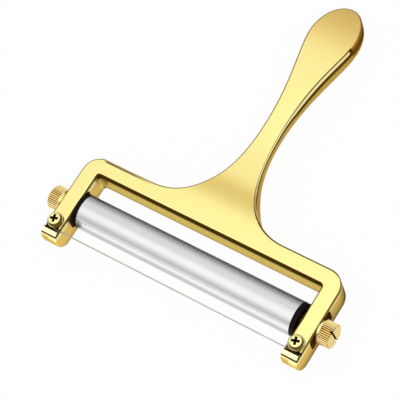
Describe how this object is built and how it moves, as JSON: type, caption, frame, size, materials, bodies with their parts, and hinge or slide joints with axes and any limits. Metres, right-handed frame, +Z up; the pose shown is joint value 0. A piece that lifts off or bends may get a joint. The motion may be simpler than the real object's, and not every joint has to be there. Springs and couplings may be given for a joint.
{
  "type": "wire cheese slicer",
  "caption": "Wire cheese slicer: cast frame with a paddle handle, a free-turning roller that shifts to set the slice thickness, and a taut cutting wire clamped across the arm tips.",
  "frame": {"origin": "middle of the crossbar's flat underside", "axes": "+X along the roller, +Y from the crossbar to the handle's tip, +Z up from the underside to the side with the wire"},
  "size_m": [0.1412, 0.1539, 0.0169],
  "materials": {
    "gold_casting": "polished gold plating on a zinc casting",
    "steel_tube": "smooth stainless tube",
    "black_plastic": "black nylon",
    "brass_hardware": "turned and knurled brass",
    "gold_screws": "brass-plated fasteners",
    "steel_wire": "drawn stainless wire"
  },
  "bodies": {
    "frame": {"frame_handle": "gold_casting", "cutting_wire": "steel_wire", "left_clamp_screw": "gold_screws", "right_clamp_screw": "gold_screws", "left_clamp_washer": "gold_screws", "right_clamp_washer": "gold_screws"},
    "carriage": {"left_guide_block": "black_plastic", "right_guide_block": "black_plastic", "left_bush": "brass_hardware", "right_bush": "brass_hardware"},
    "roller": {"roller_tube": "steel_tube", "left_roller_cap": "black_plastic", "right_roller_cap": "black_plastic"},
    "left_thumbscrew": {"left_thumbscrew": "brass_hardware"},
    "right_thumbscrew": {"right_thumbscrew": "brass_hardware"}
  },
  "joints": [
    {"name": "roller_shift", "type": "slide", "parent": "frame", "child": "carriage", "axis": [0, 1, 0], "range_m": [-0.0035, 0.0035]},
    {"name": "roller_spin", "type": "hinge", "parent": "carriage", "child": "roller", "pos_m": [0, -0.0198, 0.008], "axis": [1, 0, 0], "continuous": true},
    {"name": "left_thumbscrew_turn", "type": "hinge", "parent": "carriage", "child": "left_thumbscrew", "pos_m": [-0.06405, -0.0198, 0.008], "axis": [-1, 0, 0], "range_deg": [0, 360]},
    {"name": "right_thumbscrew_turn", "type": "hinge", "parent": "carriage", "child": "right_thumbscrew", "pos_m": [0.06405, -0.0198, 0.008], "axis": [1, 0, 0], "range_deg": [0, 360]}
  ]
}
